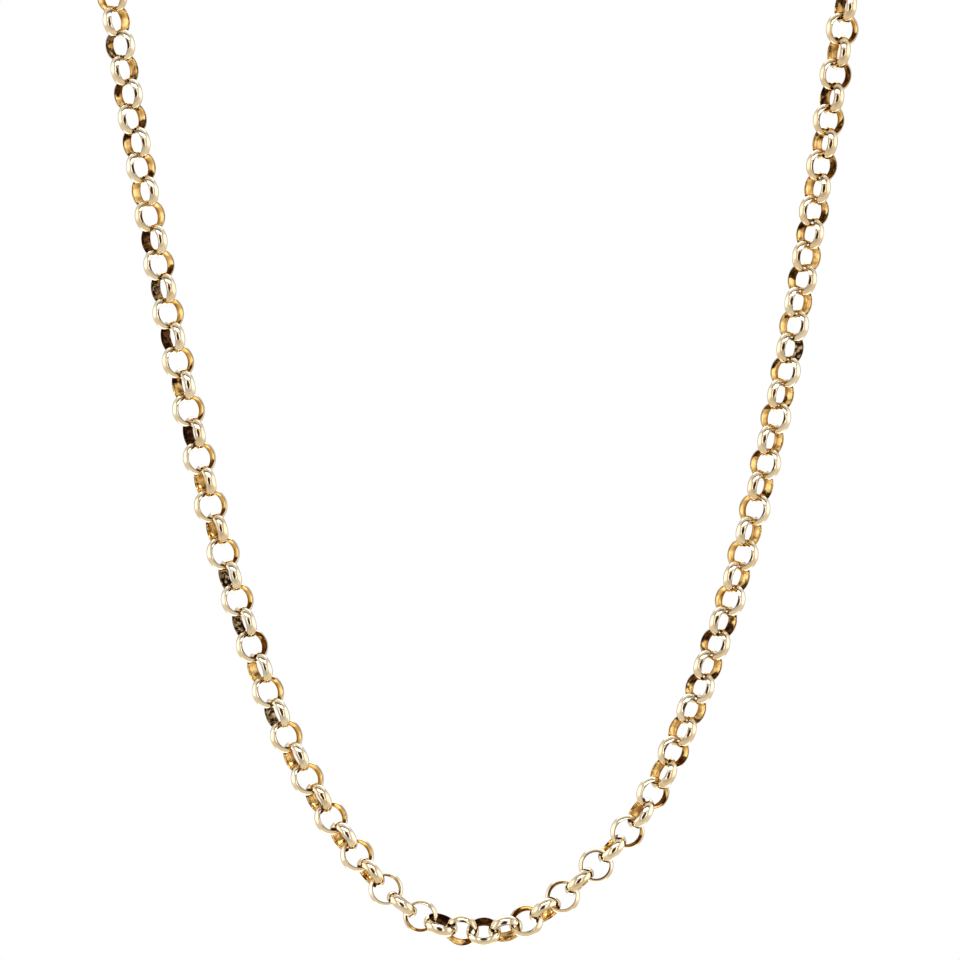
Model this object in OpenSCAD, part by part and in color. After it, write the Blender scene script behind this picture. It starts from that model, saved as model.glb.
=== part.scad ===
// Rolo chain necklace: round domed links, each through the next, closed by a bolt ring at the nape.
// Millimetres, +Z up, the front towards -Y, the origin where the loop rests on the nape.

/* [Link] */
// Outer diameter of a round link, over its domed crown
link_outer = 4.45; // [4.2:0.05:5]
// Thickness of a link's band at its crown
link_wall = 0.45; // [0.35:0.05:0.5]
// Width of a link's band, along the link's own axis
link_width = 1.45; // [1.3:0.05:1.5]
// Height of the band's straight side, below the domed crown
link_side = 0.05; // [0.04:0.01:0.1]
// Width of the flat inside the band
link_flat = 0.9; // [0.8:0.05:1]
// How far the band's inner face is eased back from the flat to its edges
link_ease = 0.05; // [0.03:0.01:0.06]
// Play left between two links where the chain is tightest
link_play = 0.16; // [0.15:0.01:0.2]

/* [Front stretch] */
// Width between the strands at the top of the front stretch
front_width = 94; // [84:1:104]
// Drop from the top of the front stretch to its lowest link, along the stretch
front_drop = 119; // [105:1:135]
// Lean of the front stretch in degrees, its top behind its foot
front_lean = 15; // [5:1:25]
// How far the top of the front stretch lies in front of the nape
front_reach = 67; // [59:1:75]
// How far the top of the front stretch lies below the nape
front_fall = 51; // [44:1:58]

/* [Neck stretch] */
// Width of the loop at the sides of the neck
neck_width = 105; // [97:1:113]
// How far the sides of the neck lie in front of the nape
side_reach = 42; // [36:1:48]
// How far the sides of the neck lie below the nape
side_fall = 16; // [10:1:22]

/* [Clasp] */
// Outer diameter of a jump ring
ring_outer = 4.2; // [4:0.1:4.6]
// Wire diameter of a jump ring
ring_wire = 0.8; // [0.6:0.1:0.9]
// Outer diameter of the bolt ring
clasp_outer = 7; // [6.5:0.1:9]
// Wire diameter of the bolt ring
clasp_wire = 1.2; // [1:0.1:1.4]
// Hole diameter of the bolt ring's eye
eye_hole = 1.6; // [1.4:0.1:2]
// Width of metal round the eye's hole
eye_rim = 0.7; // [0.6:0.1:0.9]
// Thickness of the eye
eye_thickness = 0.8; // [0.6:0.1:1]
// Diameter of the thumb knob on the bolt ring
knob_size = 1; // [0.8:0.1:1.2]
// Play between a jump ring and what it passes through
ring_play = 0.22; // [0.2:0.01:0.26]

/* [Hidden] */
$fn = 96;
gold = [0.93, 0.8, 0.52];

// The hanging curve of the front stretch, left to right
// Percent of half its width, percent of its drop
front_curve = [
    [-100, 0], [-91, 21], [-80.5, 42], [-68, 62], [-50.5, 81], [-28, 94.5], [-10, 99.4],
    [9, 99.4], [27, 94.5], [47, 85], [66, 66.5], [79.5, 46], [90, 24], [99.5, 0]
];
// How the front stretch is turned about its own line
// Share of the route from the nape, degrees
front_turn = [
    [0.24, -53], [0.29, -40], [0.34, -27], [0.37, -22], [0.41, -31], [0.46, -24], [0.475, -8],
    [0.505, 52], [0.53, 88], [0.555, 115], [0.58, 133], [0.63, 146], [0.69, 136], [0.72, 123],
    [0.76, 112]
];
// How tightly the chain is drawn
// Share of the route from the nape, share of the longest pitch
draw_along = [
    [0, 0.97], [0.13, 0.97], [0.17, 0.96], [0.24, 0.99], [0.33, 0.99], [0.42, 0.965], [0.45, 0.91],
    [0.48, 0.88], [0.51, 0.88], [0.53, 0.92], [0.66, 0.945], [0.71, 0.92], [0.76, 0.92], [0.8, 0.96],
    [1, 0.96]
];
// Key points along each bend between the front stretch and the side of the neck
bend_shares = [0.25, 0.5, 0.75];
// Length of the bend's handles as a share of the distance that it spans
bend_ease = 0.4;
// Angle between key points round the back of the neck
neck_step = 15;
// Samples between two key points of the route
route_samples = 8;

// Radius of the arc over a chord this wide that rises this far
function arc_r(chord, rise) = (pow(chord / 2, 2) + pow(rise, 2)) / (2 * rise);

// The band: flat inside with eased edges, straight sides, domed crown
link_r = link_outer / 2;
link_hole_r = link_r - link_wall;
link_edge_r = link_hole_r + link_ease;
crown_rise = link_r - link_edge_r - link_side;
crown_r = arc_r(link_width, crown_rise);
// Two links at a right angle bear on each other's inner edges at this distance
taut_pitch = 2 * sqrt(pow(link_edge_r, 2) - pow(link_width / 2, 2));
longest_pitch = taut_pitch - link_play;

// Radii at the clasp
ring_hole_r = ring_outer / 2 - ring_wire;
ring_mid_r = (ring_outer - ring_wire) / 2;
clasp_hole_r = clasp_outer / 2 - clasp_wire;
clasp_mid_r = (clasp_outer - clasp_wire) / 2;
eye_r = eye_hole / 2 + eye_rim;
eye_mid_r = (eye_hole + eye_rim) / 2;

// Distances between centres at the clasp, from the left end link to the right one
link_to_ring = sqrt(pow(link_hole_r, 2) - pow(ring_wire / 2, 2))
    + sqrt(pow(ring_hole_r, 2) - pow(link_width / 2, 2)) - ring_play;
ring_to_eye = sqrt(pow(eye_hole / 2, 2) - pow(ring_wire / 2, 2))
    + sqrt(pow(ring_hole_r, 2) - pow(eye_thickness / 2, 2)) - ring_play;
eye_to_clasp = eye_mid_r + clasp_mid_r;
clasp_to_ring = clasp_hole_r + ring_hole_r - ring_play;
clasp_span = 2 * link_to_ring + ring_to_eye + eye_to_clasp + clasp_to_ring;

function unit(v) = v / norm(v);
function across(v, t) = unit(v - t * (v * t));

// Key points of the route
function front_point(row) =
    let (drop = front_drop * row[1] / 100)
    [
        front_width / 2 * row[0] / 100,
        -front_reach - drop * sin(front_lean),
        -front_fall - drop * cos(front_lean)
    ];
function neck_point(angle) = [
    -neck_width / 2 * cos(angle),
    -side_reach * (1 - sin(angle)),
    -side_fall * (1 - sin(angle))
];
// Cubic curve from one point and heading to another
function bend_point(from, heading, to, arrival, share) =
    let (
        handle = bend_ease * norm(to - from),
        near = from + handle * heading,
        far = to - handle * arrival,
        rest = 1 - share
    )
    pow(rest, 3) * from + 3 * pow(rest, 2) * share * near
        + 3 * rest * pow(share, 2) * far + pow(share, 3) * to;

front_points = [for (row = front_curve) front_point(row)];
last_front = len(front_points) - 1;
side_heading = unit([0, side_reach, side_fall]);
left_heading = unit(front_points[1] - front_points[0]);
right_heading = unit(front_points[last_front] - front_points[last_front - 1]);
route_keys = concat(
    [for (angle = [90:-neck_step:0]) neck_point(angle)],
    [for (share = bend_shares)
        bend_point(neck_point(0), -side_heading, front_points[0], left_heading, share)],
    front_points,
    [for (share = bend_shares)
        bend_point(front_points[last_front], right_heading, neck_point(180), side_heading, share)],
    [for (angle = [180:-neck_step:90]) neck_point(angle)]
);

// Smooth closed curve through the key points
key_count = len(route_keys) - 1;
function key(i) = route_keys[(i + key_count) % key_count];
function smooth_point(i, t) =
    let (a = key(i - 1), b = key(i), c = key(i + 1), d = key(i + 2))
    b + t / 2 * (c - a + t * (2 * a - 5 * b + 4 * c - d + t * (3 * b - a - 3 * c + d)));
route = [
    for (i = [0:key_count - 1])
        for (k = [0:route_samples - 1]) smooth_point(i, k / route_samples),
    route_keys[0]
];

// Distance along the route at each of its samples
last_sample = len(route) - 1;
function step_to(i) = norm(route[min(i, last_sample)] - route[i - 1]);
route_s = [for (i = 0, s = 0; i <= last_sample; i = i + 1, s = s + step_to(i)) s];
route_length = route_s[last_sample];
function route_axis(axis) = [for (i = [0:last_sample]) [route_s[i], route[i][axis]]];
route_x = route_axis(0);
route_y = route_axis(1);
route_z = route_axis(2);
function place(s) = [lookup(s, route_x), lookup(s, route_y), lookup(s, route_z)];

// Link centres: stepped along the route, then drawn together so that the last one meets the clasp
run_start = clasp_span / 2;
run_length = route_length - clasp_span;
function pitch_at(s) = longest_pitch * lookup(s / route_length, draw_along);
steps = [for (s = 0; s < run_length + 2 * longest_pitch; s = s + pitch_at(run_start + s)) s];
last_link = len([for (s = steps) if (s < run_length) s]);
link_s = [for (i = [0:last_link]) run_start + steps[i] * run_length / steps[last_link]];
link_centre = [for (s = link_s) place(s)];

// The clasp and its rings lie on the straight line between the two end links
left_end = link_centre[0];
right_end = link_centre[last_link];
clasp_line = unit(right_end - left_end);
clasp_face = across([0, side_reach, side_fall], clasp_line);
clasp_up = cross(clasp_line, clasp_face);
function clasp_place(distance) =
    left_end + clasp_line * distance * norm(right_end - left_end) / clasp_span;

// Each link lies along the line between its two neighbours
left_ring = clasp_place(link_to_ring);
right_ring = clasp_place(clasp_span - link_to_ring);
along_chain = concat([left_ring], link_centre, [right_ring]);
link_line = [for (i = [0:last_link]) unit(along_chain[i + 2] - along_chain[i])];

// The lowest link, where the two runs meet
lowest = min([for (centre = link_centre) centre[2]]);
middle = [for (i = [0:last_link]) if (link_centre[i][2] == lowest) i][0];

// A direction across the chain, forward at the lowest link and carried along both runs
// without turning about the chain's own line
front_face = [0, -cos(front_lean), sin(front_lean)];
function carried(face, i) = across(face, link_line[max(0, min(i, last_link))]);
left_faces = [
    for (i = middle, face = front_face; i >= 0; i = i - 1, face = carried(face, i)) face
];
right_faces = [
    for (i = middle, face = front_face; i <= last_link; i = i + 1, face = carried(face, i)) face
];
function face_at(i) = i < middle ? left_faces[middle - i] : right_faces[i - middle];
function side_at(i) = cross(link_line[i], face_at(i));

// Every other link is turned a quarter more, and the end links lie flat on the nape
function quarter(i) = (i % 2) * 90;
function turn_facing(i, way) = atan2(way * side_at(i), way * face_at(i));
left_turn = turn_facing(0, -clasp_face);
right_turn = turn_facing(last_link, clasp_face) + quarter(last_link);
turn_along = concat([[0, left_turn]], front_turn, [[1, right_turn]]);
function link_axis(i) =
    let (turn = lookup(link_s[i] / route_length, turn_along) + quarter(i))
    cos(turn) * face_at(i) + sin(turn) * side_at(i);

// Puts a shape, made about +Z with +X along the chain, at a point
module set_at(centre, along, axis) {
    side = cross(axis, along);
    multmatrix([
        [along[0], side[0], axis[0], centre[0]],
        [along[1], side[1], axis[1], centre[1]],
        [along[2], side[2], axis[2], centre[2]],
        [0, 0, 0, 1]
    ]) children();
}

module link() {
    rotate_extrude() intersection() {
        translate([link_r - crown_r, 0]) circle(crown_r);
        polygon([
            [link_hole_r, -link_flat / 2], [link_edge_r, -link_width / 2],
            [link_r, -link_width / 2], [link_r, link_width / 2],
            [link_edge_r, link_width / 2], [link_hole_r, link_flat / 2]
        ]);
    }
}

module wire_ring(mid_r, wire) {
    rotate_extrude() translate([mid_r, 0]) circle(wire / 2);
}

module run(first, last) {
    for (i = [first:last]) set_at(link_centre[i], link_line[i], link_axis(i)) link();
}

module jump_ring(centre) {
    set_at(centre, clasp_line, clasp_up) wire_ring(ring_mid_r, ring_wire);
}

module chain_left() {
    color(gold) run(0, middle);
}

module chain_right() {
    color(gold) run(middle + 1, last_link);
}

module jump_ring_left() {
    color(gold) jump_ring(left_ring);
}

module jump_ring_right() {
    color(gold) jump_ring(right_ring);
}

module clasp() {
    color(gold) set_at(clasp_place(link_to_ring + ring_to_eye + eye_to_clasp), clasp_line, clasp_face)
        difference() {
            union() {
                wire_ring(clasp_mid_r, clasp_wire);
                translate([-eye_to_clasp, 0, -eye_thickness / 2]) cylinder(r = eye_r, h = eye_thickness);
                rotate([0, 0, 50]) translate([clasp_outer / 2, 0, 0]) sphere(d = knob_size);
            }
            translate([-eye_to_clasp, 0, -eye_thickness]) cylinder(d = eye_hole, h = 2 * eye_thickness);
        }
}

chain_left();
chain_right();
jump_ring_left();
jump_ring_right();
clasp();
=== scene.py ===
"""Rolo chain necklace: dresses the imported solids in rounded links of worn, polished pale gold."""

import math
import random

import bmesh
import bpy
import numpy as np
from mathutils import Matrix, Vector


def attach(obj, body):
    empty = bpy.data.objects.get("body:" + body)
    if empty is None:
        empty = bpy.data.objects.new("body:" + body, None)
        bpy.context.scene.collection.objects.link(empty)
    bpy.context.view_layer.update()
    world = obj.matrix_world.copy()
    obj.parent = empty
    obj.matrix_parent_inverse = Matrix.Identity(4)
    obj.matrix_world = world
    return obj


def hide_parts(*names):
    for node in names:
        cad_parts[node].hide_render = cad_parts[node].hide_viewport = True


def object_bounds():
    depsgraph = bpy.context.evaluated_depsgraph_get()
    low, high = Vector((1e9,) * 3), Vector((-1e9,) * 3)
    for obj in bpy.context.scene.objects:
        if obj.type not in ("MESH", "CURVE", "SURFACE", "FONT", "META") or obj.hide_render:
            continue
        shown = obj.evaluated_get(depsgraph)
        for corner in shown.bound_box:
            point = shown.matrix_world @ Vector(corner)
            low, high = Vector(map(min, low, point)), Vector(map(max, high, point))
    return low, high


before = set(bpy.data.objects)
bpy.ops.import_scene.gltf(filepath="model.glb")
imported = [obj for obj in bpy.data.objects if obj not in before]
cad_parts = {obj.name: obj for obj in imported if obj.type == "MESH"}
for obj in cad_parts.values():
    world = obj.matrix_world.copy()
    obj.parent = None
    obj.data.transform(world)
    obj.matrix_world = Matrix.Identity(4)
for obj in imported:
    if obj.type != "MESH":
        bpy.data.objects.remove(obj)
cad_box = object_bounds()

MM = 0.001
QUARTER = math.pi / 2
WHITE = (1, 1, 1, 1)
SEED = 7

# Link band, in metres: a dome, a short straight side, an eased edge and a flat on the inside. Its
# wall is 0.05 mm fuller than the solid's, which needs more clearance.
LINK_R = 2.225 * MM
LINK_WALL = 0.5 * MM
LINK_WIDTH = 1.45 * MM
LINK_SIDE = 0.05 * MM
LINK_FLAT = 0.9 * MM
LINK_EASE = 0.05 * MM
LINK_EDGE = 0.03 * MM

# Wire rings and clasp, in metres
RING_R = 2.1 * MM
RING_WIRE_R = 0.4 * MM
CLASP_R = 3.5 * MM
CLASP_WIRE_R = 0.6 * MM
EYE_HOLE_R = 0.8 * MM
EYE_R = 1.5 * MM
EYE_THICKNESS = 0.8 * MM
EYE_EDGE = 0.15 * MM
KNOB_R = 0.5 * MM
KNOB_ANGLE = math.radians(50)

# Facets round a ring, and along the parts of its section
LINK_STEPS = 60
RING_STEPS = 96
CROWN_STEPS = 6
LINK_EDGE_STEPS = 2
WIRE_STEPS = 16
EYE_EDGE_STEPS = 4
KNOB_SEGMENTS = 32
KNOB_RINGS = 16

# Points of the frame that are this close are one point, in metres
WELD = 1e-7

# Camera, square to the front stretch, in metres, its sensor in millimetres
FRONT_LEAN = math.radians(15)
FRONT_TOP = Vector((0, -67, -51)) * MM
PICTURE_SIZE = 122.6 * MM
PICTURE_CENTRE_X = -0.1 * MM
CAMERA_DISTANCE = 1.5
CAMERA_SENSOR = 36
CAMERA_REACH = 20

# Room's light by direction: round the camera, above and below, at the sides, behind the chain
# above and below it, behind it aside, straight behind, on panels beside the camera, in a gap of
# the ceiling, and on the dark camera
ROOM = (0.55, 0.515, 0.46, 1)
ABOVE = (0.7, 0.685, 0.655, 1)
BELOW = (0.8, 0.71, 0.57, 1)
SIDES = (1.5, 1.5, 1.5, 1)
BACKDROP = (1.8, 1.85, 2.0, 1)
BEHIND = (0.7, 0.68, 0.62, 1)
BACK_DARK = (0.15, 0.11, 0.07, 1)
FLANKS = (1.5, 1.47, 1.4, 1)
CEILING_GAP = (0.2, 0.18, 0.15, 1)
CAMERA_DARK = (0.06, 0.03, 0.02, 1)

# Where each light begins and where it is full. A direction has parts ahead (to the camera), above
# and aside, each 1 at most; level is the part above without its sign. ENDWISE_SLOPE is level over
# aside, the gap goes by the angle above ahead in radians, and the dark oval by the sum of two
# squares: aside and level as shares of what DARK_ASIDE and DARK_ALONG reach.
UPRIGHT_ABOVE = (-0.2, 0.2)
UPRIGHT_AHEAD = (0.8, 0.35)
SIDES_ASIDE = (0.7, 0.94)
SIDES_ABOVE = (-0.5, -0.1)
ENDWISE_SLOPE = (0.9, 1.5)
BACKDROP_AHEAD = (-0.2, -0.5)
BEHIND_AHEAD = (-0.72, -0.92)
BACK_DARK_AHEAD = (-0.92, -0.97)
FLANKS_INNER = (0.2, 0.3)
FLANKS_OUTER = (0.62, 0.5)
FLANKS_LEVEL = (0.5, 0.2)
FLANKS_AHEAD = (0.0, 0.3)
GAP_LOW = (1.0, 1.08)
GAP_HIGH = (1.36, 1.26)
GAP_ASIDE = (0.85, 0.6)
DARK_OVAL = (1.25, 0.75)
DARK_AHEAD = (0.0, 0.2)
DARK_ASIDE = math.radians(22)
DARK_ALONG = math.radians(24)

# Added to aside, so that nothing is divided by 0
TINY = 0.001

# Long soft lamp above the camera, and the floor, in metres and watts
LAMP_LENGTH = 1.4
LAMP_DEPTH = 0.42
LAMP_POWER = 6
LAMP_RISE = math.radians(45)
LAMP_DISTANCE = 1.2
FLOOR_DROP = 0.35
FLOOR_HALF = 0.8
FLOOR_COLOUR = (0.9, 0.89, 0.87, 1)
FLOOR_ROUGHNESS = 0.9
FLOOR_GLOW = 0.17

# Gold's colours: its polish, the inside of the band, lit up to bright amber by painted highlights,
# the dark of its tarnish and of painted shade, and the painted shade in crevices
PALE = (0.93, 0.84, 0.65, 1)
WARM = (0.88, 0.72, 0.49, 1)
AMBER_DEEP = (0.31, 0.125, 0.016, 1)
AMBER_BRIGHT = (0.88, 0.62, 0.25, 1)
SOOT_AND_SHADE = (0.02, 0.008, 0.004, 1)
RUST_AND_SHADE = (0.12, 0.05, 0.018, 1)
BROWN = (0.46, 0.34, 0.19, 1)
CREVICE_SHADE = (0.1, 0.05, 0.02, 1)
INSIDE_TINT = (0.75, 0.5, 0.25, 1)

# Noise scales, in cells to the metre. The painted highlight streak's goes by its own lanes.
HAZE_SCALE = 700
WAVE_SCALE = 1500
SCRATCH_SCALE = 5200
BLOTCH_SCALE = 520
CRACKLE_SCALE = 1700
MOTTLE_SCALE = 900
HIGHLIGHT_STREAK_SCALE = 1.4

# How far apart links can lie in the noises and in the lanes, and half the lanes across a band
LINK_SHIFT = 7.0
LANE_SHIFT = 40.0
LANES_ACROSS = 2.6

# Where each part of the finish, with its painted shade and highlights, begins and where it is full
WARM_TONE = (0.4, 1.0)
CREVICE_SHADE_OPEN = (0.84, 0.5)
INSIDE_DEPTH = (0.83, 0.88)
RIM_DEPTH = (0.6, 0.76)
RIM_ACROSS = (0.88, 0.97)
CONTACT_SHADE_TOWARD = (0.86, 0.97)
AMBER_HIGHLIGHT_STEP = (0.85, 1.6)
RUST_CRACKLE = (0.45, 0.6)
BROWN_CRACKLE = (0.47, 0.58)
HEAVY_GRIME = (0.82, 0.88)
PATCHY_GRIME = (0.98, 0.94)
TARNISH_AND_SHADE_REACH = (0.95, 1.04)

# How strongly each part counts
MOTTLE_WEIGHT = 1.1
FRONT_HIGHLIGHT = 0.45
STREAK_HIGHLIGHT = 1.5
SLANT_SHADE_REACH = 0.4
GRIME_AND_SHADE_REACH = 0.5
HEAVY_REACH = 0.15
CRACKLE_REACH = 0.12
CONTACT_SHADE_SHARE = 0.75
RIM_SHARE = 0.65
CREVICE_SHADE_SHARE = 0.95
LEAST_ROUGHNESS = 0.01
HAZE_ROUGHNESS = 0.04
INSIDE_ROUGHNESS = 0.06
TARNISH_AND_SHADE_ROUGHNESS = 0.2
WAVE_WEIGHT = 18.0
BUMP_STRENGTH = 0.25
BUMP_DISTANCE = 0.01 * MM
SHELTER_SAMPLES = 6
SHELTER_DISTANCE = 0.5 * MM

# A link's warmth: its share by chance, and its share at the picture's upper right
WARMTH_BY_CHANCE = 0.4
WARMTH_UPPER_RIGHT = 0.5
WARM_ACROSS = (97 * MM, 104 * MM)
WARM_DOWN = (42 * MM, 12 * MM)

# A link's grime where no list gives it, and the painted shade on the inside of a link seen face on
GRIME_LEAST = 0.28
GRIME_BY_CHANCE = 0.3
FACE_ON_SHADE = 0.7
FACE_ON_FROM = 0.85

# A link is a listed one within this distance of its place, on the front stretch
LISTED_WITHIN = 1.5 * MM
FRONT_DEPTH = 20 * MM

# Links with a dark inside: place across and down the picture in mm, and how much is dark
DARK_INSIDES = (
    (107.9, 1.7, 0.8),
    (106.3, 12.8, 0.7),
    (105.2, 21.6, 0.8),
    (104.4, 27.3, 0.7),
    (103.4, 30.4, 0.72),
    (101.0, 44.6, 0.9),
    (96.9, 59.2, 0.5),
    (92.1, 79.7, 0.6),
    (91.3, 82.5, 0.6),
    (89.5, 87.8, 0.6),
    (15.4, 5.7, 0.85),
    (15.9, 8.9, 0.6),
    (16.4, 12.0, 0.75),
    (16.8, 15.1, 0.6),
    (17.5, 18.2, 0.75),
    (18.0, 21.3, 0.5),
    (19.7, 30.4, 0.78),
    (20.9, 37.0, 0.85),
    (22.1, 42.8, 0.7),
    (23.4, 49.0, 0.6),
    (24.8, 55.2, 1.0),
    (29.4, 73.3, 0.9),
    (30.3, 76.5, 0.6),
    (31.2, 79.2, 0.9),
    (32.6, 82.2, 0.75),
    (35.2, 90.8, 0.9),
    (55.8, 118.0, 1.0),
    (61.4, 119.2, 1.0),
    (67.8, 117.3, 0.65),
)

# Links whose inside is not darkened by the list or by chance: place across and down the picture in
# mm
CLEAN = (
    (13.6, 1.3),
    (14.8, 2.7),
    (18.5, 24.4),
    (18.9, 27.3),
    (26.3, 61.5),
    (102.7, 33.3),
    (96.3, 65.5),
    (95.6, 68.2),
    (94.4, 70.8),
    (92.8, 76.4),
    (47.0, 110.8),
    (64.4, 118.5),
)

FORWARD = Vector((0, -math.cos(FRONT_LEAN), math.sin(FRONT_LEAN)))
UPWARD = Vector((0, math.sin(FRONT_LEAN), math.cos(FRONT_LEAN)))
SIDEWAYS = Vector((1, 0, 0))
PICTURE_CENTRE = FRONT_TOP - UPWARD * PICTURE_SIZE / 2 + SIDEWAYS * PICTURE_CENTRE_X

# Across the picture, from its upper left to its lower right: painted shade makes the insides
# darkest at both ends
SLANT_TURN = math.radians(125)
SLANT = UPWARD * math.sin(SLANT_TURN) + SIDEWAYS * math.cos(SLANT_TURN)


def arc_radius(chord, rise):
    """Radius of the arc over a chord that rises this far."""
    return ((chord / 2) ** 2 + rise**2) / (2 * rise)


def arc(centre, radius, start, end, steps):
    """Points of an arc in the section's plane, angles in radians, ends included."""
    turns = [start + (end - start) * i / steps for i in range(steps + 1)]
    return [(centre[0] + radius * math.cos(a), centre[1] + radius * math.sin(a)) for a in turns]


def link_section():
    """The band's section with rounded edges: distance from the axis, place across the width."""
    rise = LINK_WALL - LINK_SIDE - LINK_EASE
    crown = arc_radius(LINK_WIDTH, rise)
    half = LINK_WIDTH / 2 - LINK_EDGE
    crown_x = LINK_R - crown
    crown_turn = math.asin(half / (crown - LINK_EDGE))
    outer_x = crown_x + (crown - LINK_EDGE) * math.cos(crown_turn)
    hole = LINK_R - LINK_WALL
    flat = LINK_FLAT / 2
    slope = math.atan2(LINK_EASE, LINK_WIDTH / 2 - flat)
    inner_x = hole + LINK_EASE + LINK_EDGE * math.tan(math.pi / 4 - slope / 2)
    outer, inner = (outer_x, half), (inner_x, half)
    outer_below, inner_below = (outer_x, -half), (inner_x, -half)
    return (
        arc((crown_x, 0), crown, -crown_turn, crown_turn, CROWN_STEPS)
        + arc(outer, LINK_EDGE, crown_turn, QUARTER, LINK_EDGE_STEPS)[1:]
        + arc(inner, LINK_EDGE, QUARTER, math.pi - slope, LINK_EDGE_STEPS)
        + [(hole, flat), (hole, 0), (hole, -flat)]
        + arc(inner_below, LINK_EDGE, math.pi + slope, 3 * QUARTER, LINK_EDGE_STEPS)
        + arc(outer_below, LINK_EDGE, -QUARTER, -crown_turn, LINK_EDGE_STEPS)[:-1]
    )


def wire_section(radius, wire_radius):
    """A round wire's section at the ring's own radius."""
    return arc((radius - wire_radius, 0), wire_radius, 0, 2 * math.pi, WIRE_STEPS)[:-1]


def eye_section():
    """The eye's washer with rounded edges."""
    half = EYE_THICKNESS / 2 - EYE_EDGE
    outer, inner = EYE_R - EYE_EDGE, EYE_HOLE_R + EYE_EDGE
    corners = [(outer, half, 0), (inner, half, 1), (inner, -half, 2), (outer, -half, 3)]
    return [
        point
        for x, z, turns in corners
        for point in arc(
            (x, z), EYE_EDGE, turns * QUARTER, (turns + 1) * QUARTER, EYE_EDGE_STEPS
        )
    ]


def islands(node):
    """The point sets of a CAD node's separate solids."""
    mesh = bmesh.new()
    mesh.from_mesh(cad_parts[node].data)
    bmesh.ops.remove_doubles(mesh, verts=mesh.verts, dist=WELD)
    found = []
    seen = set()
    for first in mesh.verts:
        if first in seen:
            continue
        seen.add(first)
        island = [first]
        for vert in island:
            for edge in vert.link_edges:
                other = edge.other_vert(vert)
                if other not in seen:
                    seen.add(other)
                    island.append(other)
        found.append(np.array([v.co[:] for v in island]))
    mesh.free()
    return found


def ring_place(points):
    """Centre and axis of a ring's points, the axis where they spread least."""
    centre = points.mean(axis=0)
    axis = np.linalg.svd(points - centre, full_matrices=False)[2][2]
    return Vector(centre), Vector(axis)


def ring_mesh(mesh, place, along, section, steps, layers=None, facts=None):
    """Adds a ring: its section turned about its axis, starting along the chain."""
    centre, axis = place
    start = (along - axis * along.dot(axis)).normalized()
    side = axis.cross(start)
    loops = []
    for i in range(steps):
        turn = 2 * math.pi * i / steps
        outward = start * math.cos(turn) + side * math.sin(turn)
        loop = [mesh.verts.new(centre + outward * r + axis * z) for r, z in section]
        loops.append(loop)
        if layers:
            for vert, (r, z) in zip(loop, section):
                values = {
                    "across": z / (LINK_WIDTH / 2),
                    "depth": (LINK_R - r) / LINK_WALL,
                    "toward": math.cos(turn),
                    "slant": outward.dot(SLANT) ** 2,
                    **facts,
                }
                for name, value in values.items():
                    vert[layers[name]] = value
    for i in range(steps):
        here, after = loops[i], loops[(i + 1) % steps]
        for j in range(len(section)):
            k = (j + 1) % len(section)
            mesh.faces.new((here[j], after[j], after[k], here[k])).smooth = True


def add_piece(mesh, name, node, material):
    """Turns a bmesh into a piece that stands for a CAD node."""
    bmesh.ops.recalc_face_normals(mesh, faces=mesh.faces)
    data = bpy.data.meshes.new(name)
    mesh.to_mesh(data)
    mesh.free()
    piece = bpy.data.objects.new(name, data)
    bpy.context.scene.collection.objects.link(piece)
    data.materials.append(material)
    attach(piece, "root")
    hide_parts(node)


def picture_place(centre):
    """Place across and down the picture, in metres."""
    offset = centre - PICTURE_CENTRE
    return PICTURE_SIZE / 2 + offset.x, PICTURE_SIZE / 2 - offset.dot(UPWARD)


def share(value, low, high):
    """0 at low, 1 at high, and held between."""
    return min(1, max(0, (value - low) / (high - low)))


def warmth_of(centre, chance):
    """How warm a link's polish is: it differs by chance and is warmest at the upper right."""
    x, y = picture_place(centre)
    upper_right = share(x, *WARM_ACROSS) * share(y, *WARM_DOWN)
    return WARMTH_BY_CHANCE * chance + WARMTH_UPPER_RIGHT * upper_right


def darkness_of(centre, dice):
    """How dark a link's inside is, 0 to 1: as listed, or else by chance."""
    chance = dice.random()
    x, y = picture_place(centre)
    in_front = centre.y < FRONT_TOP.y + FRONT_DEPTH
    for listed_x, listed_y, dark in DARK_INSIDES + tuple((*place, 0.0) for place in CLEAN):
        away = math.hypot(x - listed_x * MM, y - listed_y * MM)
        if in_front and away < LISTED_WITHIN:
            return dark
    return GRIME_LEAST + GRIME_BY_CHANCE * chance


def link_mesh():
    """An empty bmesh with the layers that the links' finish reads."""
    mesh = bmesh.new()
    names = ("across", "depth", "toward", "slant", "link", "grime_and_shade", "warmth")
    return mesh, {name: mesh.verts.layers.float.new(name) for name in names}


def chain(node, others, dice, material):
    """One run of links, each turned to lie along its two neighbours, the nearest after itself."""
    mesh, layers = link_mesh()
    section = link_section()
    for points in islands(node):
        centre, axis = ring_place(points)
        near = sorted(others, key=lambda other: (other - centre).length)
        along = (near[1] - near[2]).normalized()
        if axis.dot(FORWARD) < 0:
            axis = -axis
        facts = {"link": dice.random(), "grime_and_shade": darkness_of(centre, dice)}
        facts["warmth"] = warmth_of(centre, facts["link"])
        # Painted shade: a link seen face on gets a darker inside
        face_on = share(axis.dot(FORWARD), FACE_ON_FROM, 1)
        facts["grime_and_shade"] = max(facts["grime_and_shade"], FACE_ON_SHADE * face_on)
        ring_mesh(mesh, (centre, axis), along, section, LINK_STEPS, layers, facts)
    add_piece(mesh, node + "_links", node, material)


def jump_ring(node, material):
    """A round wire ring. Returns its centre."""
    mesh = bmesh.new()
    place = ring_place(islands(node)[0])
    ring_mesh(mesh, place, SIDEWAYS, wire_section(RING_R, RING_WIRE_R), RING_STEPS)
    add_piece(mesh, node + "_wire", node, material)
    return place[0]


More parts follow.
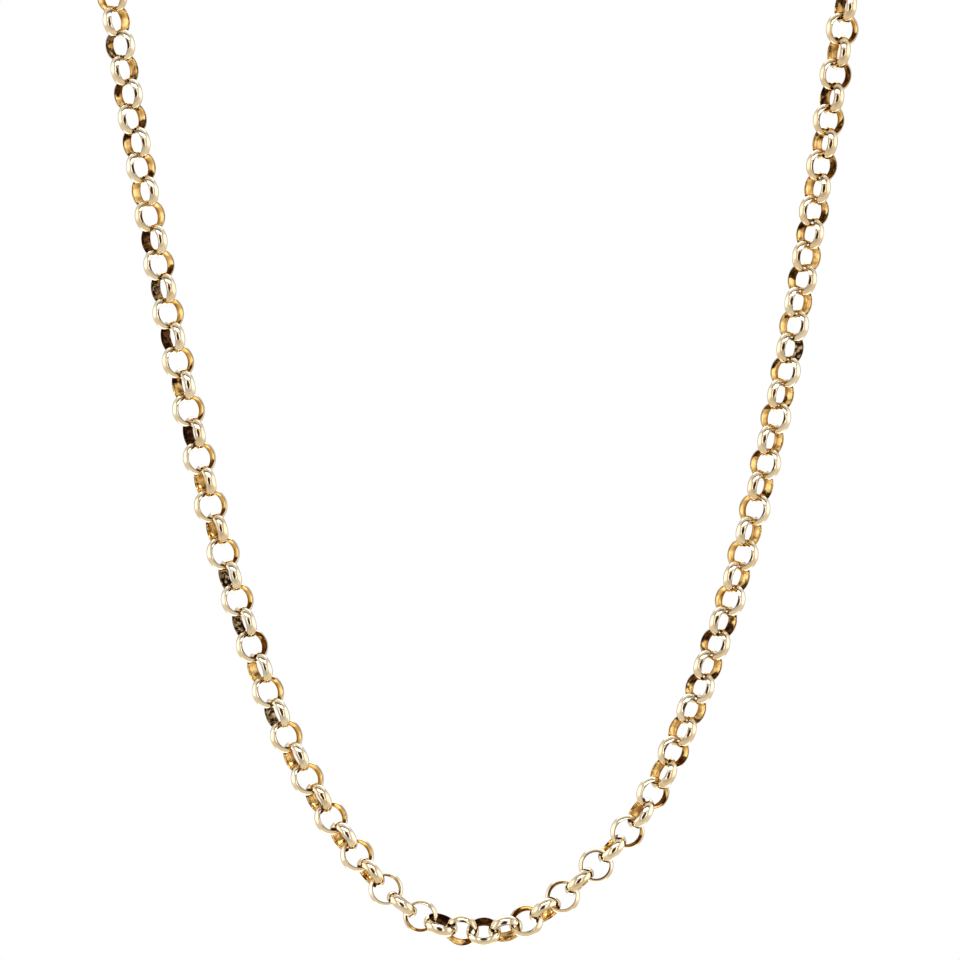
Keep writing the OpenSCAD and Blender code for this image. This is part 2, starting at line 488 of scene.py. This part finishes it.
def clasp(left, right, material):
    """The bolt ring with its eye and thumb knob, between the two jump rings."""
    along = (right - left).normalized()
    points = np.concatenate(islands("clasp"))
    axis = ring_place(points)[1]
    axis = (axis - along * axis.dot(along)).normalized()
    if axis.y < 0:
        axis = -axis
    reach = [along.dot(Vector(p)) for p in points]
    centre_at = max(reach) - CLASP_R
    eye_at = min(reach) + EYE_R
    base = left - along * along.dot(left)
    centre, eye = base + along * centre_at, base + along * eye_at
    mesh = bmesh.new()
    ring_mesh(mesh, (centre, axis), along, wire_section(CLASP_R, CLASP_WIRE_R), RING_STEPS)
    ring_mesh(mesh, (eye, axis), along, eye_section(), RING_STEPS)
    side = axis.cross(along)
    outward = along * math.cos(KNOB_ANGLE) + side * math.sin(KNOB_ANGLE)
    knob = bmesh.ops.create_uvsphere(
        mesh, u_segments=KNOB_SEGMENTS, v_segments=KNOB_RINGS, radius=KNOB_R
    )["verts"]
    bmesh.ops.translate(mesh, verts=knob, vec=centre + outward * CLASP_R)
    for face in {face for vert in knob for face in vert.link_faces}:
        face.smooth = True
    add_piece(mesh, "clasp_bolt_ring", "clasp", material)


class Nodes:
    """Short calls for building a node tree."""

    def __init__(self, tree):
        """Keeps the tree that the calls add to, and empties it."""
        self.tree = tree
        tree.nodes.clear()

    def add(self, kind, settings=(), **inputs):
        """A node with its settings, and its inputs by name, with _ for a space."""
        node = self.tree.nodes.new(kind)
        for name, value in dict(settings).items():
            setattr(node, name, value)
        for name, value in inputs.items():
            self.put(node.inputs[name.replace("_", " ")], value)
        return node

    def put(self, socket, value):
        """Links a socket to another, or sets its value."""
        if isinstance(value, bpy.types.NodeSocket):
            self.tree.links.new(value, socket)
        else:
            socket.default_value = value

    def math(self, operation, *values):
        """The result of one sum."""
        node = self.add("ShaderNodeMath", {"operation": operation})
        for socket, value in zip(node.inputs, values):
            self.put(socket, value)
        return node.outputs[0]

    def vector_math(self, operation, first, second):
        """A node that works out one sum of two vectors."""
        node = self.add("ShaderNodeVectorMath", {"operation": operation})
        self.put(node.inputs[0], first)
        self.put(node.inputs[1], second)
        return node

    def product(self, first, *others):
        """All the shares multiplied."""
        for other in others:
            first = self.math("MULTIPLY", first, other)
        return first

    def smooth(self, value, low, high):
        """0 below low, 1 above high, with a soft step between."""
        node = self.add("ShaderNodeMapRange", {"interpolation_type": "SMOOTHSTEP"})
        for name, given in (("Value", value), ("From Min", low), ("From Max", high)):
            self.put(node.inputs[name], given)
        return node.outputs[0]

    def attribute(self, name):
        """A layer of the mesh."""
        return self.add("ShaderNodeAttribute", {"attribute_name": name}).outputs["Fac"]

    def noise(self, vector, scale, detail=3, roughness=0.5):
        """A noise of about 0.5 on average."""
        node = self.add(
            "ShaderNodeTexNoise", Vector=vector, Scale=scale, Detail=detail, Roughness=roughness
        )
        return node.outputs["Fac"]

    def mix(self, amount, first, second):
        """The first colour, or the second by this amount. The colours are inputs 6 and 7."""
        node = self.add("ShaderNodeMix", {"data_type": "RGBA"})
        self.put(node.inputs[0], amount)
        self.put(node.inputs[6], first)
        self.put(node.inputs[7], second)
        return node.outputs[2]


def amber_colour(n, own, front, link):
    """The inside before its darkening: amber, mottled at random, with painted highlight streaks
    round the band and a painted highlight at its front edge.
    """
    lane = n.add(
        "ShaderNodeCombineXYZ",
        X=n.math("MULTIPLY", front, LANES_ACROSS),
        Y=n.attribute("slant"),
        Z=n.math("MULTIPLY", link, LANE_SHIFT),
    )
    highlight_streak = n.noise(lane.outputs[0], HIGHLIGHT_STREAK_SCALE, roughness=0.6)
    # Painted highlights: the amber brightens toward the band's front edge and in streaks round it
    front_highlight = n.math("MULTIPLY", front, FRONT_HIGHLIGHT)
    mottle_and_highlight = n.math("MULTIPLY_ADD", n.noise(own, MOTTLE_SCALE), MOTTLE_WEIGHT, front_highlight)
    mottle_and_highlight = n.math("MULTIPLY_ADD", highlight_streak, STREAK_HIGHLIGHT, mottle_and_highlight)
    return n.mix(n.smooth(mottle_and_highlight, *AMBER_HIGHLIGHT_STEP), AMBER_DEEP, AMBER_BRIGHT)


def inside_colour_and_painted_light(n, place):
    """The inside's colour, and how far it is darkened: painted shade most at the slant's ends, and
    each link's given darkness, which holds grime and, on links seen face on, painted shade. Painted
    contact shade darkens the ends where neighbours pass.
    """
    link, grime_and_shade = n.attribute("link"), n.attribute("grime_and_shade")
    own = n.vector_math("ADD", place, n.math("MULTIPLY", link, LINK_SHIFT)).outputs[0]
    crackle = n.noise(own, CRACKLE_SCALE, detail=4, roughness=0.65)
    blotch = n.noise(own, BLOTCH_SCALE, detail=2)
    heavy = n.smooth(grime_and_shade, *HEAVY_GRIME)
    patchy = n.product(heavy, n.smooth(grime_and_shade, *PATCHY_GRIME))

    grime_and_shade_part = n.math("MULTIPLY", grime_and_shade, GRIME_AND_SHADE_REACH)
    # Painted shade: the inside darkens where it faces along the slant, toward either end
    reach = n.math("MULTIPLY_ADD", n.attribute("slant"), SLANT_SHADE_REACH, grime_and_shade_part)
    reach = n.math("MULTIPLY_ADD", heavy, HEAVY_REACH, reach)
    reach = n.math("ADD", reach, n.math("MULTIPLY_ADD", crackle, CRACKLE_REACH, blotch))
    tarnish_and_shade = n.smooth(reach, *TARNISH_AND_SHADE_REACH)

    dark = n.mix(n.smooth(crackle, *RUST_CRACKLE), SOOT_AND_SHADE, RUST_AND_SHADE)
    patches = n.product(patchy, n.smooth(crackle, *BROWN_CRACKLE))
    amber = amber_colour(n, own, n.attribute("across"), link)
    inner = n.mix(tarnish_and_shade, amber, n.mix(patches, dark, BROWN))
    # Painted contact shade: the inside is darkened at the link's two ends, where its neighbours
    # pass
    contact_shade = n.smooth(n.math("ABSOLUTE", n.attribute("toward")), *CONTACT_SHADE_TOWARD)
    return n.mix(n.math("MULTIPLY", contact_shade, CONTACT_SHADE_SHARE), inner, dark), tarnish_and_shade


def gold_material(name, links):
    """Worn polished gold with painted shade in crevices. On links the inside of the band is deeper,
    with painted highlights, and partly darkened by tarnish and painted shade.
    """
    material = bpy.data.materials.new(name)
    material.use_nodes = True
    n = Nodes(material.node_tree)
    place = n.add("ShaderNodeTexCoord").outputs["Object"]
    haze = n.noise(place, HAZE_SCALE)
    wave = n.noise(place, WAVE_SCALE, detail=1)
    scratch = n.noise(place, SCRATCH_SCALE, detail=4)
    tone = n.math("ADD", n.attribute("warmth"), haze) if links else haze
    colour = n.mix(n.smooth(tone, *WARM_TONE), PALE, WARM)
    tint = WHITE
    rough = n.math("MULTIPLY_ADD", haze, HAZE_ROUGHNESS, LEAST_ROUGHNESS)
    # Painted shade in crevices: the gold is darkened where other geometry comes within the
    # occlusion's reach
    shelter = n.add(
        "ShaderNodeAmbientOcclusion", {"samples": SHELTER_SAMPLES}, Distance=SHELTER_DISTANCE
    )
    crevice_shade = n.math("MULTIPLY", n.smooth(shelter.outputs["AO"], *CREVICE_SHADE_OPEN), CREVICE_SHADE_SHARE)
    if links:
        depth, across = n.attribute("depth"), n.math("ABSOLUTE", n.attribute("across"))
        # Painted dark reflection: a dark line along the edges of the inside, added to the crevice
        # shade
        rim = n.product(n.smooth(depth, *RIM_DEPTH), n.smooth(across, *RIM_ACROSS))
        crevice_shade = n.math("MAXIMUM", crevice_shade, n.math("MULTIPLY", rim, RIM_SHARE))
        inside = n.smooth(depth, *INSIDE_DEPTH)
        inner, tarnish_and_shade = inside_colour_and_painted_light(n, place)
        colour = n.mix(inside, colour, inner)
        tint = n.mix(inside, WHITE, INSIDE_TINT)
        dull = n.math("MULTIPLY_ADD", tarnish_and_shade, TARNISH_AND_SHADE_ROUGHNESS, INSIDE_ROUGHNESS)
        rough = n.math("ADD", rough, n.math("MULTIPLY", inside, dull))
    relief = n.math("MULTIPLY_ADD", wave, WAVE_WEIGHT, scratch)
    bump = n.add(
        "ShaderNodeBump", Strength=BUMP_STRENGTH, Distance=BUMP_DISTANCE, Height=relief
    )
    shader = n.add(
        "ShaderNodeBsdfPrincipled",
        Base_Color=n.mix(crevice_shade, colour, CREVICE_SHADE),
        Metallic=1.0,
        Specular_Tint=tint,
        Roughness=rough,
        Normal=bump.outputs["Normal"],
    )
    n.add("ShaderNodeOutputMaterial", Surface=shader.outputs[0])
    return material


def build_object():
    """The five pieces of the necklace."""
    dice = random.Random(SEED)
    link_gold = gold_material("link_gold", True)
    wire_gold = gold_material("wire_gold", False)
    left = jump_ring("jump_ring_left", wire_gold)
    right = jump_ring("jump_ring_right", wire_gold)
    clasp(left, right, wire_gold)
    runs = ("chain_left", "chain_right")
    centres = [ring_place(points)[0] for node in runs for points in islands(node)]
    others = centres + [left, right]
    for node in runs:
        chain(node, others, dice, link_gold)


def build_floor():
    """A plain white floor well below the chain, which the gold doesn't mirror."""
    level = cad_box[0][2] - FLOOR_DROP
    corners = [
        (x * FLOOR_HALF, y * FLOOR_HALF, level) for x, y in ((-1, -1), (1, -1), (1, 1), (-1, 1))
    ]
    data = bpy.data.meshes.new("floor")
    data.from_pydata(corners, [], [(0, 1, 2, 3)])
    floor = bpy.data.objects.new("floor", data)
    bpy.context.scene.collection.objects.link(floor)
    material = bpy.data.materials.new("floor_white")
    material.use_nodes = True
    shader = material.node_tree.nodes["Principled BSDF"]
    shader.inputs["Base Color"].default_value = FLOOR_COLOUR
    shader.inputs["Roughness"].default_value = FLOOR_ROUGHNESS
    shader.inputs["Emission Color"].default_value = WHITE
    shader.inputs["Emission Strength"].default_value = FLOOR_GLOW
    data.materials.append(material)
    floor.visible_glossy = False


def room_light(n):
    """The room's light by direction, each light laid over those before it."""
    way = n.add("ShaderNodeTexCoord").outputs["Generated"]
    aside, above, ahead = (
        n.vector_math("DOT_PRODUCT", way, tuple(axis)).outputs["Value"]
        for axis in (SIDEWAYS, UPWARD, FORWARD)
    )
    aside = n.math("ABSOLUTE", aside)
    level = n.math("ABSOLUTE", above)
    rise = n.math("ARCTAN2", above, ahead)

    upright = n.mix(n.smooth(above, *UPRIGHT_ABOVE), BELOW, ABOVE)
    light = n.mix(n.smooth(ahead, *UPRIGHT_AHEAD), ROOM, upright)
    sides = n.product(n.smooth(aside, *SIDES_ASIDE), n.smooth(above, *SIDES_ABOVE))
    light = n.mix(sides, light, SIDES)

    endwise = n.smooth(n.math("DIVIDE", level, n.math("ADD", aside, TINY)), *ENDWISE_SLOPE)
    backdrop = n.product(n.smooth(ahead, *BACKDROP_AHEAD), endwise)
    light = n.mix(backdrop, light, BACKDROP)
    behind = n.product(n.smooth(ahead, *BEHIND_AHEAD), n.math("SUBTRACT", 1.0, endwise))
    light = n.mix(behind, light, BEHIND)
    light = n.mix(n.smooth(ahead, *BACK_DARK_AHEAD), light, BACK_DARK)

    flanks = n.product(
        n.smooth(aside, *FLANKS_INNER),
        n.smooth(aside, *FLANKS_OUTER),
        n.smooth(level, *FLANKS_LEVEL),
        n.smooth(ahead, *FLANKS_AHEAD),
    )
    light = n.mix(flanks, light, FLANKS)
    gap = n.product(
        n.smooth(rise, *GAP_LOW), n.smooth(rise, *GAP_HIGH), n.smooth(aside, *GAP_ASIDE)
    )
    light = n.mix(gap, light, CEILING_GAP)

    wide = n.math("POWER", n.math("DIVIDE", aside, math.sin(DARK_ASIDE)), 2.0)
    tall = n.math("POWER", n.math("DIVIDE", level, math.sin(DARK_ALONG)), 2.0)
    oval = n.smooth(n.math("ADD", wide, tall), *DARK_OVAL)
    dark = n.product(oval, n.smooth(ahead, *DARK_AHEAD))
    return n.mix(dark, light, CAMERA_DARK)


def build_room():
    """A pale room that lights the gold, and shows as plain white behind it."""
    world = bpy.data.worlds.new("studio")
    bpy.context.scene.world = world
    world.use_nodes = True
    n = Nodes(world.node_tree)
    seen = n.add("ShaderNodeLightPath").outputs["Is Camera Ray"]
    colour = n.mix(seen, room_light(n), WHITE)
    background = n.add("ShaderNodeBackground", Color=colour, Strength=1.0)
    n.add("ShaderNodeOutputWorld", Surface=background.outputs[0])


def build_lamp():
    """One long soft lamp above the camera, which the camera doesn't see."""
    light = bpy.data.lights.new("lamp_above", "AREA")
    light.shape = "RECTANGLE"
    light.size, light.size_y = LAMP_LENGTH, LAMP_DEPTH
    light.energy = LAMP_POWER
    lamp = bpy.data.objects.new("lamp_above", light)
    outward = FORWARD * math.cos(LAMP_RISE) + UPWARD * math.sin(LAMP_RISE)
    lamp.location = PICTURE_CENTRE + outward * LAMP_DISTANCE
    lamp.rotation_euler = outward.to_track_quat("Z", "Y").to_euler()
    lamp.visible_camera = False
    bpy.context.scene.collection.objects.link(lamp)


def build_camera():
    """A long lens, square to the leaning front stretch, its picture's top at the stretch's top."""
    data = bpy.data.cameras.new("camera")
    data.sensor_width = CAMERA_SENSOR
    data.lens = CAMERA_SENSOR * CAMERA_DISTANCE / PICTURE_SIZE
    data.clip_end = CAMERA_REACH
    camera = bpy.data.objects.new("camera", data)
    camera.location = PICTURE_CENTRE + FORWARD * CAMERA_DISTANCE
    camera.rotation_euler = (-FORWARD).to_track_quat("-Z", "Y").to_euler()
    bpy.context.scene.collection.objects.link(camera)
    bpy.context.scene.camera = camera
    bpy.context.scene.view_settings.view_transform = "Standard"


build_camera()
build_room()
build_lamp()
build_floor()
build_object()
